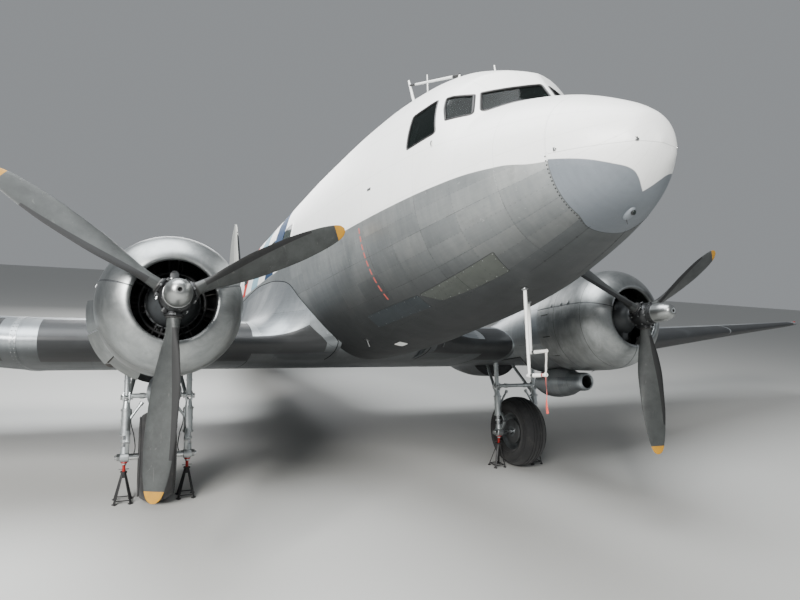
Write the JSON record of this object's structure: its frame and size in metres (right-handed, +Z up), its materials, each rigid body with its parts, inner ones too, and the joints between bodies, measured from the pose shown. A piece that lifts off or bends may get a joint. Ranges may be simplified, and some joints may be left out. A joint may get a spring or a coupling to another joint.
{
  "type": "twin-engined military transport plane, tail-wheel type",
  "caption": "Low-wing transport plane with radial engines and three-blade propellers, standing on main wheels and a castoring tail wheel, with split flaps and side cargo doors.",
  "frame": {"origin": "on the floor, at the middle of the bounding box of the plane standing on its three wheels", "axes": "+X to the port wing tip, -Y to the nose, +Z up; the plane is tipped nose-up by 11.25 degrees about X"},
  "size_m": [29.04, 19.4242, 5.6344],
  "materials": {
    "bare_metal": "polished, weathered",
    "blade": "worn matt",
    "cabin_green": "matt primer",
    "cowl_metal": "polished",
    "dark_metal": "oily matt",
    "dome": "polished",
    "gear_metal": "worn silver",
    "glass": "clear",
    "red_paint": "scuffed",
    "rubber": "matt",
    "seat": "worn",
    "white": "semi-gloss paint"
  },
  "bodies": {
    "airframe": {"nose_cap": "white", "cockpit_section": "white", "cockpit_glazing": "glass", "cabin_section": "white", "rear_fuselage": "white", "tailplane_left": "bare_metal", "tailplane_right": "bare_metal", "fin": "white", "load_floor": "cabin_green", "cockpit_bulkhead": "cabin_green", "rear_bulkhead": "cabin_green", "instrument_panel": "dark_metal", "pilot_seat": "seat", "copilot_seat": "seat", "bench_left": "cabin_green", "bench_right": "cabin_green", "wing_centre": "bare_metal", "wing_left": "bare_metal", "wing_right": "bare_metal", "engine_cowl_left": "cowl_metal", "engine_left": "dark_metal", "engine_cowl_right": "cowl_metal", "engine_right": "dark_metal", "nacelle_left": "bare_metal", "nacelle_tail_left": "bare_metal", "nacelle_right": "bare_metal", "nacelle_tail_right": "bare_metal", "pitot_mast_long": "gear_metal", "pitot_mast_short": "gear_metal", "aerial_mast": "white", "aerial_whip": "white", "gear_frame_left": "gear_metal", "gear_frame_right": "gear_metal", "tail_gear_leg": "gear_metal", "axle_stand_left_inner": "red_paint", "axle_stand_left_outer": "red_paint", "axle_stand_right_inner": "red_paint", "axle_stand_right_outer": "red_paint"},
    "propeller_left": {"propeller_left": "blade", "propeller_dome_left": "dome"},
    "propeller_right": {"propeller_right": "blade", "propeller_dome_right": "dome"},
    "main_wheel_left": {"wheel_left": "dark_metal", "tyre_left": "rubber"},
    "main_wheel_right": {"wheel_right": "dark_metal", "tyre_right": "rubber"},
    "tail_castor": {"tail_fork": "gear_metal"},
    "tail_wheel": {"tail_wheel": "dark_metal", "tail_tyre": "rubber"},
    "rudder": {"rudder": "white"},
    "elevator": {"elevator_left": "bare_metal", "elevator_right": "bare_metal"},
    "aileron_left": {"aileron_left": "bare_metal"},
    "aileron_right": {"aileron_right": "bare_metal"},
    "flap_inner_left": {"flap_inner_left": "bare_metal"},
    "flap_inner_right": {"flap_inner_right": "bare_metal"},
    "flap_outer_left": {"flap_outer_left": "bare_metal"},
    "flap_outer_right": {"flap_outer_right": "bare_metal"},
    "cargo_door_front": {"cargo_door_front": "white"},
    "cargo_door_rear": {"cargo_door_rear": "white"}
  },
  "joints": [
    {"name": "propeller_left_spin", "type": "hinge", "parent": "airframe", "child": "propeller_left", "pos_m": [2.82, -7.06623, 2.73861], "axis": [0, -0.9808, 0.1951], "continuous": true},
    {"name": "propeller_right_spin", "type": "hinge", "parent": "airframe", "child": "propeller_right", "pos_m": [-2.82, -7.06623, 2.73861], "axis": [0, -0.9808, 0.1951], "continuous": true},
    {"name": "main_wheel_left_spin", "type": "hinge", "parent": "airframe", "child": "main_wheel_left", "pos_m": [2.82, -4.58564, 0.57], "axis": [1, 0, 0], "continuous": true},
    {"name": "main_wheel_right_spin", "type": "hinge", "parent": "airframe", "child": "main_wheel_right", "pos_m": [-2.82, -4.58564, 0.57], "axis": [1, 0, 0], "continuous": true},
    {"name": "tail_castor_turn", "type": "hinge", "parent": "airframe", "child": "tail_castor", "pos_m": [0, 6.68368, 0.6663], "axis": [0, 0.1951, 0.9808], "continuous": true},
    {"name": "tail_wheel_spin", "type": "hinge", "parent": "tail_castor", "child": "tail_wheel", "pos_m": [0, 6.72919, 0.28], "axis": [1, 0, 0], "continuous": true},
    {"name": "rudder_turn", "type": "hinge", "parent": "airframe", "child": "rudder", "pos_m": [0, 8.09479, 1.55814], "axis": [0, 0.1951, 0.9808], "range_deg": [-30, 30]},
    {"name": "elevator_turn", "type": "hinge", "parent": "airframe", "child": "elevator", "pos_m": [0, 7.95991, 1.13635], "axis": [1, 0, 0], "range_deg": [-20, 30]},
    {"name": "aileron_left_turn", "type": "hinge", "parent": "airframe", "child": "aileron_left", "pos_m": [8.65, -1.48323, 1.73225], "axis": [0.9932, 0.0892, 0.0745], "range_deg": [-18, 27]},
    {"name": "aileron_right_turn", "type": "hinge", "parent": "airframe", "child": "aileron_right", "pos_m": [-8.65, -1.48323, 1.73225], "axis": [0.9932, -0.0892, -0.0745], "range_deg": [-18, 27]},
    {"name": "flap_inner_left_turn", "type": "hinge", "parent": "airframe", "child": "flap_inner_left", "pos_m": [1.42, -1.61123, 1.20755], "axis": [1, 0, 0], "range_deg": [-45, 0]},
    {"name": "flap_inner_right_turn", "type": "hinge", "parent": "airframe", "child": "flap_inner_right", "pos_m": [-1.42, -1.61123, 1.20755], "axis": [1, 0, 0], "range_deg": [-45, 0]},
    {"name": "flap_outer_left_turn", "type": "hinge", "parent": "airframe", "child": "flap_outer_left", "pos_m": [4.44, -1.60449, 1.21567], "axis": [0.993, 0.0757, 0.0903], "range_deg": [-45, 0]},
    {"name": "flap_outer_right_turn", "type": "hinge", "parent": "airframe", "child": "flap_outer_right", "pos_m": [-4.44, -1.60449, 1.21567], "axis": [0.993, -0.0757, -0.0903], "range_deg": [-45, 0]},
    {"name": "cargo_door_front_swing", "type": "hinge", "parent": "airframe", "child": "cargo_door_front", "pos_m": [1.103, 1.33628, 1.88291], "axis": [0, 0.1951, 0.9808], "range_deg": [-120, 0]},
    {"name": "cargo_door_rear_swing", "type": "hinge", "parent": "airframe", "child": "cargo_door_rear", "pos_m": [0.868, 3.36062, 1.48024], "axis": [0, 0.1951, 0.9808], "range_deg": [0, 120]}
  ],
  "couplings": [
    {"joint": "flap_inner_right_turn", "follows": "flap_inner_left_turn", "ratio": 1},
    {"joint": "flap_outer_left_turn", "follows": "flap_inner_left_turn", "ratio": 1},
    {"joint": "flap_outer_right_turn", "follows": "flap_inner_left_turn", "ratio": 1}
  ]
}
